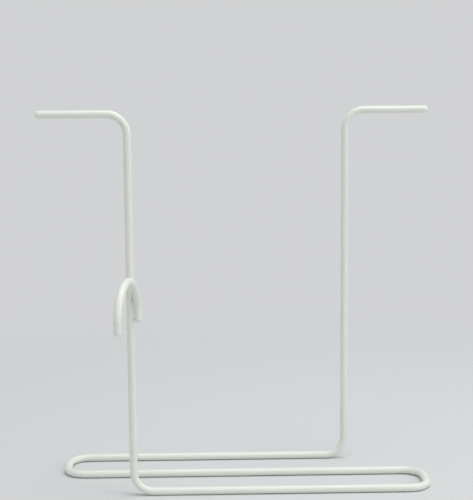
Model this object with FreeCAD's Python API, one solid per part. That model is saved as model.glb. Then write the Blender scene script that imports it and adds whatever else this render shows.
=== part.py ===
import FreeCAD, Part
import math
import os
from FreeCAD import Vector

os.makedirs("parts", exist_ok=True)

# Urine bag holder: a stand bent from one coated steel wire, with a rail hook welded to it.
# +Z is up and +Y points away from the side that the hook opens to.
# The origin lies on the floor, in the middle of the whole holder's length and depth.
# The stand looks the same after half a turn about the upright line through its middle.
# All sizes are in millimetres, and angles are in degrees.

# Driving dimensions of the stand wire
WIRE_DIAMETER = 4.0         # steel wire and its coat together
BEND_RADIUS = 10.0          # centre line of the wire at each corner
UPRIGHT_SPACING = 110.0     # from one upright's centre line to the other's, along X
ARM_CENTRE_HEIGHT = 188.0   # centre line of the two arms above the floor
ARM_REACH = 43.5            # from an upright's centre line to the rounded end of its arm
BASE_REACH = 39.0           # from an upright's centre line to the outer side of the base beside it
RUN_PITCH = 28.0            # from one run of the base to the next, centre line to centre line

# Driving dimensions of the rail hook
HOOK_WIRE_DIAMETER = 4.0    # steel wire and its coat together
HOOK_SPAN = 35.0            # from the welded leg's centre line to the free leg's
HOOK_TOP_HEIGHT = 112.0     # top of the hook's arch above the floor
LEG_STRAIGHT = 3.0          # straight end of each leg, before its rounded tip
HOOK_TURN = 12.0            # turn of the hook's plane about the upright, from -Y towards -X
WELD_LENGTH = 6.0           # up from the lower end of the welded leg's straight part
WELD_SETDOWN = 0.2          # how far the welding presses the two wires into each other
WELD_FILLET_RADIUS = 0.8    # hollow round that the coat forms on both sides of the weld

# A straight part shorter than this is left out of a path, because two bends meet there.
SHORTEST_STRAIGHT = 1e-6

wire_radius = WIRE_DIAMETER / 2
hook_wire_radius = HOOK_WIRE_DIAMETER / 2


def rounded_path(corners, radius):
    """Straight lines between the corners, joined at each inner corner by a tangent arc."""
    edges = []
    start = corners[0]
    for before, corner, after in zip(corners, corners[1:], corners[2:]):
        towards_before = (before - corner).normalize()
        towards_after = (after - corner).normalize()
        half_angle = towards_before.getAngle(towards_after) / 2
        tangent_length = radius / math.tan(half_angle)
        arc_start = corner + towards_before * tangent_length
        arc_end = corner + towards_after * tangent_length
        inward = (towards_before + towards_after).normalize()
        arc_middle = corner + inward * (radius / math.sin(half_angle) - radius)
        if start.distanceToPoint(arc_start) > SHORTEST_STRAIGHT:
            edges.append(Part.LineSegment(start, arc_start).toShape())
        edges.append(Part.Arc(arc_start, arc_middle, arc_end).toShape())
        start = arc_end
    if start.distanceToPoint(corners[-1]) > SHORTEST_STRAIGHT:
        edges.append(Part.LineSegment(start, corners[-1]).toShape())
    return Part.Wire(edges)


def round_wire(path, radius):
    """A solid round wire along a path, with a half ball on each of its two ends."""
    first = path.Edges[0]
    last = path.Edges[-1]
    start = first.valueAt(first.FirstParameter)
    end = last.valueAt(last.LastParameter)
    forwards = first.tangentAt(first.FirstParameter)
    section = Part.Face(Part.Wire(Part.makeCircle(radius, start, forwards)))
    start_ball = Part.makeSphere(radius, start, -forwards, 0, 90, 360)
    end_ball = Part.makeSphere(radius, end, last.tangentAt(last.LastParameter), 0, 90, 360)
    return path.makePipe(section).fuse([start_ball, end_ball]).removeSplitter()


# Places shared by the stand and the hook

upright_x = UPRIGHT_SPACING / 2
weld_offset = wire_radius + hook_wire_radius - WELD_SETDOWN

# The hook's plane touches the upright, so the welded leg lies square to that plane beside it.
hook_direction = Vector(-math.sin(math.radians(HOOK_TURN)), -math.cos(math.radians(HOOK_TURN)), 0)
weld_direction = Vector(-hook_direction.y, hook_direction.x, 0)
free_leg_offset = weld_direction * weld_offset + hook_direction * HOOK_SPAN

# The hook reaches further forward than the base does, so the middle run lies behind the origin.
base_half_depth = RUN_PITCH + wire_radius
hook_front_reach = RUN_PITCH - free_leg_offset.y + hook_wire_radius
middle_run_y = (hook_front_reach - base_half_depth) / 2
front_run_y = middle_run_y - RUN_PITCH


def half_turn(point):
    """The point's place after half a turn about the upright line through the stand's middle."""
    return Vector(-point.x, 2 * middle_run_y - point.y, point.z)


# Stand wire: left arm, front upright, three runs of the base, rear upright, right arm
# The two bends at each end of the base share one pitch, so a bend takes half a pitch at most.

arm_tip_x = upright_x + ARM_REACH - wire_radius
base_end_x = upright_x + BASE_REACH - wire_radius
bend_radius = min(BEND_RADIUS, RUN_PITCH / 2)
front_half = [
    Vector(-arm_tip_x, front_run_y, ARM_CENTRE_HEIGHT),
    Vector(-upright_x, front_run_y, ARM_CENTRE_HEIGHT),
    Vector(-upright_x, front_run_y, wire_radius),
    Vector(base_end_x, front_run_y, wire_radius),
    Vector(base_end_x, middle_run_y, wire_radius),
]
rear_half = [half_turn(point) for point in reversed(front_half)]
stand_wire = round_wire(rounded_path(front_half + rear_half, bend_radius), wire_radius)

# Rail hook: a wire bent to an arch, which passes in front of the front upright
# Its rear leg is welded to the side of that upright that faces the other one.

upright_centre = Vector(-upright_x, front_run_y, 0)
welded_leg = upright_centre + weld_direction * weld_offset
free_leg = upright_centre + free_leg_offset
arch_radius = HOOK_SPAN / 2
arch_foot_height = HOOK_TOP_HEIGHT - hook_wire_radius - arch_radius
leg_low = arch_foot_height - LEG_STRAIGHT
arch_top = (welded_leg + free_leg) / 2 + Vector(0, 0, arch_foot_height + arch_radius)

hook_path = Part.Wire([
    Part.LineSegment(
        welded_leg + Vector(0, 0, leg_low), welded_leg + Vector(0, 0, arch_foot_height)
    ).toShape(),
    Part.Arc(
        welded_leg + Vector(0, 0, arch_foot_height), arch_top, free_leg + Vector(0, 0, arch_foot_height)
    ).toShape(),
    Part.LineSegment(
        free_leg + Vector(0, 0, arch_foot_height), free_leg + Vector(0, 0, leg_low)
    ).toShape(),
])
hook_wire = round_wire(hook_path, hook_wire_radius)


def weld_web():
    """The coat that fills the groove along the weld.

    Each side is hollow: an arc that touches both round wires from outside.
    Its centre is the point that lies the fillet's radius away from both of them.
    """
    across = Vector(-weld_direction.y, weld_direction.x, 0)
    from_upright = wire_radius + WELD_FILLET_RADIUS
    from_leg = hook_wire_radius + WELD_FILLET_RADIUS
    along = (from_upright ** 2 - from_leg ** 2 + weld_offset ** 2) / (2 * weld_offset)
    aside = math.sqrt(from_upright ** 2 - along ** 2)
    base = Vector(upright_centre.x, upright_centre.y, leg_low)
    leg = Vector(welded_leg.x, welded_leg.y, leg_low)
    sides = []
    for sign in (1, -1):
        centre = base + weld_direction * along + across * (sign * aside)
        on_upright = base + (centre - base) * (wire_radius / from_upright)
        on_leg = leg + (centre - leg) * (hook_wire_radius / from_leg)
        hollow = centre - across * (sign * WELD_FILLET_RADIUS)
        sides.append((on_upright, hollow, on_leg))
    (first_start, first_hollow, first_end), (second_start, second_hollow, second_end) = sides
    outline = Part.Wire([
        Part.Arc(first_start, first_hollow, first_end).toShape(),
        Part.LineSegment(first_end, second_end).toShape(),
        Part.Arc(second_end, second_hollow, second_start).toShape(),
        Part.LineSegment(second_start, first_start).toShape(),
    ])
    return Part.Face(outline).extrude(Vector(0, 0, WELD_LENGTH))


rail_hook = hook_wire.fuse(weld_web()).cut(stand_wire).removeSplitter()

# One file for each piece

PIECES = {
    "stand_wire": stand_wire,
    "rail_hook": rail_hook,
}
for name, shape in PIECES.items():
    shape.exportStep(f"parts/{name}.step")
    box = shape.BoundBox
    print(name, "solids", len(shape.Solids), "valid", shape.isValid(), "volume", round(shape.Volume, 1))
    print("  x", round(box.XMin, 2), round(box.XMax, 2), "y", round(box.YMin, 2), round(box.YMax, 2))
    print("  z", round(box.ZMin, 2), round(box.ZMax, 2))
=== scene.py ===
import bpy
import math
import numpy as np
from mathutils import Matrix, Vector


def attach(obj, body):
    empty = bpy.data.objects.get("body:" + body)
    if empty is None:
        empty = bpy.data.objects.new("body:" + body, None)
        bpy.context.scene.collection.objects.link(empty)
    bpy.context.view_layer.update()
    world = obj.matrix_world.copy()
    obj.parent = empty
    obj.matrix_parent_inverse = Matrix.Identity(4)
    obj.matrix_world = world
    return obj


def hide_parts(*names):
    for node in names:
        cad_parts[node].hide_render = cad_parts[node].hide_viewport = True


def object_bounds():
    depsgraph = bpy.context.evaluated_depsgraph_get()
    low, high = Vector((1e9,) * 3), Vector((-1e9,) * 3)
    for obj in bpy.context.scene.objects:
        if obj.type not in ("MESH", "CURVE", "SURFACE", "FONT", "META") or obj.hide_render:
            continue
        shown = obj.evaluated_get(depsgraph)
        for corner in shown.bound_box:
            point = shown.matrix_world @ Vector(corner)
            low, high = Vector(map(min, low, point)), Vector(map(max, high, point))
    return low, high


# Urine bag holder: a free-standing frame bent from one coated wire, with a welded hook for a bed rail.
# Everything is in metres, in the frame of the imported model: +Z is up and the floor is at z = 0.
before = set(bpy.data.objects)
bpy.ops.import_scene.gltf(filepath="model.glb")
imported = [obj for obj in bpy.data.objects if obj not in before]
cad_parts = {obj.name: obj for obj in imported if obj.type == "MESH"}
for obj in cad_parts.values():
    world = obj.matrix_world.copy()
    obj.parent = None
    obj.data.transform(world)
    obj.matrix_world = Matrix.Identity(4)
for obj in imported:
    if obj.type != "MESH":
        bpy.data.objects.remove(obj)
cad_low, cad_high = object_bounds()


# Stand wire
# One hard steel wire about 3 mm thick, bent cold into two uprights, two outward arms and an S-shaped base.
# The finished bend was dipped hot in white polymer powder, which left a glossy coat half a millimetre thick.

wire_radius = 0.002
upright_x = 0.055
base_end_x = 0.092
run_pitch = 0.028
stand_bend_radius = 0.010
arm_end_x = cad_high.x - wire_radius
arm_height = cad_high.z - wire_radius
base_height = wire_radius
rear_y = cad_high.y - wire_radius
middle_y = rear_y - run_pitch
front_y = middle_y - run_pitch
stand_corners = np.array([
    (-arm_end_x, front_y, arm_height),
    (-upright_x, front_y, arm_height),
    (-upright_x, front_y, base_height),
    (base_end_x, front_y, base_height),
    (base_end_x, middle_y, base_height),
    (-base_end_x, middle_y, base_height),
    (-base_end_x, rear_y, base_height),
    (upright_x, rear_y, base_height),
    (upright_x, rear_y, arm_height),
    (arm_end_x, rear_y, arm_height),
])


def unit(vector):
    """The vector over its own length."""
    return vector / np.linalg.norm(vector)


def bent_path(corners, bend_radius, spacing, bend_steps):
    """Points along straight runs that tangent arcs join.
    An arc starts and ends at the bend radius over the tangent of half the angle between its two runs."""
    stretches = []
    start = corners[0]
    for before, corner, after in zip(corners, corners[1:], corners[2:]):
        towards_before = unit(before - corner)
        towards_after = unit(after - corner)
        half_angle = math.acos(np.dot(towards_before, towards_after)) / 2
        tangent = bend_radius / math.tan(half_angle)
        centre = corner + unit(towards_before + towards_after) * bend_radius / math.sin(half_angle)
        arc_start = corner + towards_before * tangent
        run = np.linalg.norm(arc_start - start)
        if run > spacing / 2:
            step = np.linspace(0, 1, max(2, round(run / spacing)), endpoint=False)[:, None]
            stretches.append(start + (arc_start - start) * step)
        turn = np.linspace(0, math.pi - 2 * half_angle, bend_steps, endpoint=False)[:, None]
        outwards = arc_start - centre
        stretches.append(centre + outwards * np.cos(turn) - towards_before * bend_radius * np.sin(turn))
        start = corner + towards_after * tangent
    run = np.linalg.norm(corners[-1] - start)
    step = np.linspace(0, 1, max(2, round(run / spacing)))[:, None]
    stretches.append(start + (corners[-1] - start) * step)
    return np.concatenate(stretches)


def tube_faces(rings, sides, start=0):
    """Faces between rings that turn to the right as seen along the tube, so that they point outwards.
    The rings' points are numbered on from the start, each ring after the one before it.
    The two points after the last ring are the poles that close the first and the last ring."""
    side = np.arange(sides)
    beside = (side + 1) % sides
    first = start + np.arange(rings - 1)[:, None] * sides
    quads = np.stack([first + side, first + beside, first + sides + beside, first + sides + side], axis=2)
    pole = np.full(sides, start + rings * sides)
    last = start + (rings - 1) * sides
    first_fan = np.column_stack([pole, start + beside, start + side])
    last_fan = np.column_stack([pole + 1, last + side, last + beside])
    return quads.reshape(-1, 4).tolist() + first_fan.tolist() + last_fan.tolist()


# How the coat varies: lengths along the wire in metres, angles in radians, and shares that add up to one
tip_fade = 0.005
wave_step = 0.0133
drift_step = 0.0410
drift = 1.7
twist_step = 0.0210
first_lobe = 0.9
wave_share = 0.40
lobe_share = 0.35
top_share = 0.25


def coated_wire(path, thickest, tip_swell, sag, sides):
    """Vertices and faces of a tube round the path, closed by a rounded drop on each end.
    Each ring is turned from the last one by the least turn that squares it to the path.
    The radius is the thickest one, less the tip's swell away from the tips, and less the sag times the sum of
    three shares: a slow wave along the wire, whose phase drifts; a wave with two lobes round the wire, which
    twists along it; and the height of the spoke, because the hot coat was thinner on top."""
    ahead = np.gradient(path, axis=0)
    ahead /= np.linalg.norm(ahead, axis=1)[:, None]
    travel = np.concatenate([[0], np.cumsum(np.linalg.norm(np.diff(path, axis=0), axis=1))])
    slanted = np.array([0.0, 1.0, 0.31])
    across = np.cross(ahead[0], slanted)
    sideways = []
    for heading in ahead:
        across = unit(across - heading * np.dot(across, heading))
        sideways.append(across)
    sideways = np.array(sideways)

    # The rings of a rounded end share one path point, and lean from near the pole to near the full section.
    cap_rings = 12
    cap_lean = np.radians(np.linspace(86, 6, cap_rings))
    last_point = len(path) - 1
    index = np.concatenate([np.zeros(cap_rings, int), np.arange(len(path)), np.full(cap_rings, last_point)])
    lean = np.concatenate([cap_lean, np.zeros(len(path)), -cap_lean[::-1]])
    along = travel[index] - thickest * np.sin(lean)
    middle = path[index] - ahead[index] * (thickest * np.sin(lean))[:, None]

    turn = np.linspace(0, 2 * math.pi, sides, endpoint=False)
    up = np.cross(ahead[index], sideways[index])
    spoke = sideways[index][:, None] * np.cos(turn)[:, None] + up[:, None] * np.sin(turn)[:, None]
    to_tip = np.minimum(along + thickest, travel[-1] + thickest - along)
    swell = tip_swell * (1 - np.exp(-(to_tip / tip_fade) ** 2))
    wave = 0.5 + 0.5 * np.sin(along / wave_step + drift * np.sin(along / drift_step))
    lobes = 0.5 + 0.5 * np.sin(2 * turn + along[:, None] / twist_step + first_lobe)
    top_side = 0.5 + 0.5 * spoke[:, :, 2]
    thinner = swell[:, None] + sag * (wave_share * wave[:, None] + lobe_share * lobes + top_share * top_side)
    radius = (thickest - thinner) * np.cos(lean)[:, None]
    vertices = (middle[:, None] + spoke * radius[:, :, None]).reshape(-1, 3)
    poles = [path[0] - ahead[0] * thickest, path[-1] + ahead[-1] * thickest]
    return np.vstack([vertices, poles]), tube_faces(len(index), sides)


stand_path = bent_path(stand_corners, stand_bend_radius, spacing=0.0012, bend_steps=36)
stand_vertices, stand_faces = coated_wire(stand_path, wire_radius, tip_swell=0.00004, sag=0.00008, sides=56)
stand_mesh = bpy.data.meshes.new("stand_wire_coated")
stand_mesh.from_pydata(stand_vertices.tolist(), [], stand_faces)
stand_mesh.shade_smooth()
stand = bpy.data.objects.new("stand_wire_coated", stand_mesh)
bpy.context.scene.collection.objects.link(stand)

# White polymer coat: faintly green and milky, with shallow orange peel and a few paler and duller patches
coat = bpy.data.materials.new("white polymer coat")
coat.use_nodes = True
nodes = coat.node_tree.nodes
links = coat.node_tree.links
shader = nodes["Principled BSDF"]
shader.inputs["IOR"].default_value = 1.5
shader.inputs["Subsurface Weight"].default_value = 0.12
shader.inputs["Subsurface Radius"].default_value = (1.0, 1.0, 0.8)
shader.inputs["Subsurface Scale"].default_value = 0.0008
place = nodes.new("ShaderNodeTexCoord")

patches = nodes.new("ShaderNodeTexNoise")
patches.inputs["Scale"].default_value = 55.0
patches.inputs["Detail"].default_value = 3.0
links.new(place.outputs["Object"], patches.inputs["Vector"])
tint = nodes.new("ShaderNodeMix")
tint.data_type = "RGBA"
tint.inputs["A"].default_value = (0.760, 0.791, 0.727, 1)
tint.inputs["B"].default_value = (0.800, 0.821, 0.757, 1)
links.new(patches.outputs["Fac"], tint.inputs["Factor"])
links.new(tint.outputs["Result"], shader.inputs["Base Color"])

dullness = nodes.new("ShaderNodeMapRange")
dullness.inputs["From Min"].default_value = 0.2
dullness.inputs["From Max"].default_value = 0.8
dullness.inputs["To Min"].default_value = 0.272
dullness.inputs["To Max"].default_value = 0.328
links.new(patches.outputs["Fac"], dullness.inputs["Value"])
links.new(dullness.outputs["Result"], shader.inputs["Roughness"])

peel = nodes.new("ShaderNodeTexNoise")
peel.inputs["Scale"].default_value = 420.0
peel.inputs["Detail"].default_value = 2.0
links.new(place.outputs["Object"], peel.inputs["Vector"])
relief = nodes.new("ShaderNodeBump")
relief.inputs["Strength"].default_value = 0.5
relief.inputs["Distance"].default_value = 0.00025
links.new(peel.outputs["Fac"], relief.inputs["Height"])
links.new(relief.outputs["Normal"], shader.inputs["Normal"])

stand.data.materials.append(coat)
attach(stand, "root")
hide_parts("stand_wire")


# Rail hook
# A short piece of the same steel wire, bent into an arch with two legs that point down over a bed rail.
# The arch passes in front of the front upright, and its rear leg was spot-welded to that upright's side
# before the dip, so the coat fills the groove along the weld.

hook_radius = 0.002
hook_span = 0.035
hook_top = 0.112
hook_turn = math.radians(12)
leg_straight = 0.003
weld_setdown = 0.0002
weld_gap = wire_radius + hook_radius - weld_setdown
arch_radius = hook_span / 2
arch_height = hook_top - hook_radius - arch_radius
leg_end = arch_height - leg_straight
post = np.array([-upright_x, front_y])
outward = np.array([-math.sin(hook_turn), -math.cos(hook_turn)])
sideward = np.array([math.cos(hook_turn), -math.sin(hook_turn)])
welded_leg = post + sideward * weld_gap
free_leg = welded_leg + outward * hook_span
arch_middle = (welded_leg + free_leg) / 2

leg_steps = 8
arch_steps = 110
leg_heights = np.linspace(leg_end, arch_height, leg_steps, endpoint=False)
arch_turn = np.linspace(0, math.pi, arch_steps)
hook_plan = np.vstack([
    np.tile(welded_leg, (leg_steps, 1)),
    arch_middle - np.outer(arch_radius * np.cos(arch_turn), outward),
    np.tile(free_leg, (leg_steps, 1)),
])
hook_heights = np.concatenate([leg_heights, arch_height + arch_radius * np.sin(arch_turn), leg_heights[::-1]])
hook_path = np.column_stack([hook_plan, hook_heights])
hook_vertices, hook_faces = coated_wire(hook_path, hook_radius, tip_swell=0.00003, sag=0.00006, sides=56)


def weld_web(bottom, top, end_radius, widest, skin_depth, levels, steps, start):
    """Vertices and faces of the coat in the groove between the upright and the hook's leg.
    Both sides are hollow: at each height, the near arc of a circle that touches both wires from outside.
    The circle's centre lies one wire radius plus its own radius from each wire's centre. Its own radius is
    the end radius plus the widest one times the root of half a sine wave from bottom to top. The arcs end
    at the skin's depth inside the wires, so that the wavy skin of the wires covers the web's edges."""
    level = np.linspace(bottom, top, levels)
    hollow = end_radius + widest * np.sqrt(np.sin(math.pi * np.linspace(0, 1, levels)).clip(0))
    rise = (level - arch_height).clip(0)
    drop = (leg_end - level).clip(0)
    leg = welded_leg + np.outer(arch_radius - np.sqrt(arch_radius ** 2 - rise ** 2), outward)
    reach_post = wire_radius - skin_depth + hollow
    reach_leg = np.sqrt(hook_radius ** 2 - drop ** 2) - skin_depth + hollow
    gap = np.linalg.norm(leg - post, axis=1)
    line = (leg - post) / gap[:, None]
    square = np.column_stack([-line[:, 1], line[:, 0]])
    along = (gap ** 2 + reach_post ** 2 - reach_leg ** 2) / (2 * gap)
    aside = np.sqrt(reach_post ** 2 - along ** 2)
    arcs = []
    for hand in (-1, 1):
        centre = post + line * along[:, None] + square * (hand * aside)[:, None]
        to_post = np.arctan2(post[1] - centre[:, 1], post[0] - centre[:, 0])
        to_leg = np.arctan2(leg[:, 1] - centre[:, 1], leg[:, 0] - centre[:, 0])
        swing = hand * (hand * (to_leg - to_post) % (2 * math.pi))
        angle = to_post[:, None] + swing[:, None] * np.linspace(0, 1, steps)
        spoke = np.stack([np.cos(angle), np.sin(angle)], axis=2)
        arcs.append(centre[:, None] + hollow[:, None, None] * spoke)
    plan = np.concatenate([arcs[0], arcs[1][:, ::-1]], axis=1)
    heights = np.broadcast_to(level[:, None, None], (levels, 2 * steps, 1))
    rings = np.concatenate([plan, heights], axis=2)
    poles = [rings[0].mean(axis=0), rings[-1].mean(axis=0)]
    return np.vstack([rings.reshape(-1, 3), poles]), tube_faces(levels, 2 * steps, start)


web_vertices, web_faces = weld_web(bottom=0.0889, top=0.0975, end_radius=0.00003, widest=0.0010,
                                   skin_depth=0.00008, levels=60, steps=17, start=len(hook_vertices))
hook_mesh = bpy.data.meshes.new("rail_hook_coated")
hook_mesh.from_pydata(np.vstack([hook_vertices, web_vertices]).tolist(), [], hook_faces + web_faces)
hook_mesh.shade_smooth()
web_edge_angle = math.radians(40)
hook_mesh.set_sharp_from_angle(angle=web_edge_angle)
hook = bpy.data.objects.new("rail_hook_coated", hook_mesh)
bpy.context.scene.collection.objects.link(hook)
hook.data.materials.append(coat)
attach(hook, "root")
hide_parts("rail_hook")


# Floor and backdrop
# One pale grey sheet that lies flat under the holder and curves up behind it.
# Away from the holder it fades, for the camera and in reflections, into one flat grey without shadows.

flat_grey = (0.64, 0.645, 0.655, 1)
sheet_half_width = 3.0
sheet_front = -2.5
sheet_back = 1.3
sheet_top = 3.0
sweep_radius = 0.7
sweep_steps = 24
sweep_turn = np.linspace(0, math.pi / 2, sweep_steps)
sweep_y = sheet_back - sweep_radius + sweep_radius * np.sin(sweep_turn)
sweep_z = sweep_radius - sweep_radius * np.cos(sweep_turn)
profile_y = np.concatenate([[sheet_front], sweep_y, [sheet_back]])
profile_z = np.concatenate([[0], sweep_z, [sheet_top]])
sheet_x = np.tile([-sheet_half_width, sheet_half_width], len(profile_y))
sheet_vertices = np.column_stack([sheet_x, np.repeat(profile_y, 2), np.repeat(profile_z, 2)])
sheet_faces = 2 * np.arange(len(profile_y) - 1)[:, None] + np.array([0, 1, 3, 2])
sheet_mesh = bpy.data.meshes.new("backdrop")
sheet_mesh.from_pydata(sheet_vertices.tolist(), [], sheet_faces.tolist())
sheet_mesh.shade_smooth()
backdrop = bpy.data.objects.new("backdrop", sheet_mesh)
bpy.context.scene.collection.objects.link(backdrop)

paper = bpy.data.materials.new("pale grey paper")
paper.use_nodes = True
paper_nodes = paper.node_tree.nodes
paper_links = paper.node_tree.links
paper_shader = paper_nodes["Principled BSDF"]
paper_shader.inputs["Base Color"].default_value = (0.66, 0.665, 0.67, 1)
paper_shader.inputs["Roughness"].default_value = 0.9
paper_shader.inputs["Specular IOR Level"].default_value = 0.1
flat_light = paper_nodes.new("ShaderNodeEmission")
flat_light.inputs["Color"].default_value = flat_grey
flat_light.inputs["Strength"].default_value = 1.0
sheet_place = paper_nodes.new("ShaderNodeTexCoord")
from_holder = paper_nodes.new("ShaderNodeVectorMath")
from_holder.operation = "LENGTH"
paper_links.new(sheet_place.outputs["Object"], from_holder.inputs[0])
fade = paper_nodes.new("ShaderNodeMapRange")
fade.interpolation_type = "SMOOTHSTEP"
fade.inputs["From Min"].default_value = 0.16
fade.inputs["From Max"].default_value = 0.50
paper_links.new(from_holder.outputs["Value"], fade.inputs["Value"])
ray = paper_nodes.new("ShaderNodeLightPath")
seen = ray.outputs["Is Camera Ray"]
for other_ray in ("Is Glossy Ray", "Is Transmission Ray"):
    either = paper_nodes.new("ShaderNodeMath")
    either.operation = "MAXIMUM"
    paper_links.new(seen, either.inputs[0])
    paper_links.new(ray.outputs[other_ray], either.inputs[1])
    seen = either.outputs["Value"]
share = paper_nodes.new("ShaderNodeMath")
share.operation = "MULTIPLY"
paper_links.new(seen, share.inputs[0])
paper_links.new(fade.outputs["Result"], share.inputs[1])
blend = paper_nodes.new("ShaderNodeMixShader")
paper_links.new(share.outputs["Value"], blend.inputs["Fac"])
paper_links.new(paper_shader.outputs["BSDF"], blend.inputs[1])
paper_links.new(flat_light.outputs["Emission"], blend.inputs[2])
paper_links.new(blend.outputs["Shader"], paper_nodes["Material Output"].inputs["Surface"])
backdrop.data.materials.append(paper)


# Light
# A large soft lamp above the holder and a weaker one on its right, in a surround of the backdrop's flat grey.

aim = Vector((0, 0.02, 0.09))
for lamp_name, spot, width, power in (
    ("top lamp", (0.25, -0.15, 1.30), 1.1, 7.7),
    ("right lamp", (1.20, -0.50, 0.70), 0.9, 3.8),
):
    lamp_data = bpy.data.lights.new(lamp_name, "AREA")
    lamp_data.shape = "DISK"
    lamp_data.size = width
    lamp_data.energy = power
    lamp = bpy.data.objects.new(lamp_name, lamp_data)
    lamp.location = spot
    lamp.rotation_euler = (aim - Vector(spot)).to_track_quat("-Z", "Y").to_euler()
    bpy.context.scene.collection.objects.link(lamp)
world = bpy.data.worlds.new("studio")
world.use_nodes = True
world.node_tree.nodes["Background"].inputs["Color"].default_value = flat_grey
world.node_tree.nodes["Background"].inputs["Strength"].default_value = 1.0
bpy.context.scene.world = world


# Camera
# It stands in front of the holder at about the height of the arms, and looks slightly down.

camera_place = Vector((-0.013799, -0.584586, 0.200814))
heading = math.radians(1.048)
pitch = math.radians(7.789)
roll = math.radians(0.461)
camera_data = bpy.data.cameras.new("camera")
camera_data.lens = 86.4
camera_data.sensor_width = 36.0
camera_data.clip_start = 0.05
camera_data.clip_end = 20.0
camera = bpy.data.objects.new("camera", camera_data)
forward = Vector((math.sin(heading) * math.cos(pitch), math.cos(heading) * math.cos(pitch), -math.sin(pitch)))
level_right = Vector((math.cos(heading), -math.sin(heading), 0))
level_up = level_right.cross(forward)
right = level_right * math.cos(roll) - level_up * math.sin(roll)
above = level_right * math.sin(roll) + level_up * math.cos(roll)
turned = Matrix((right, above, -forward)).transposed().to_4x4()
camera.matrix_world = Matrix.Translation(camera_place) @ turned
bpy.context.scene.collection.objects.link(camera)
bpy.context.scene.camera = camera
bpy.context.scene.view_settings.view_transform = "Standard"
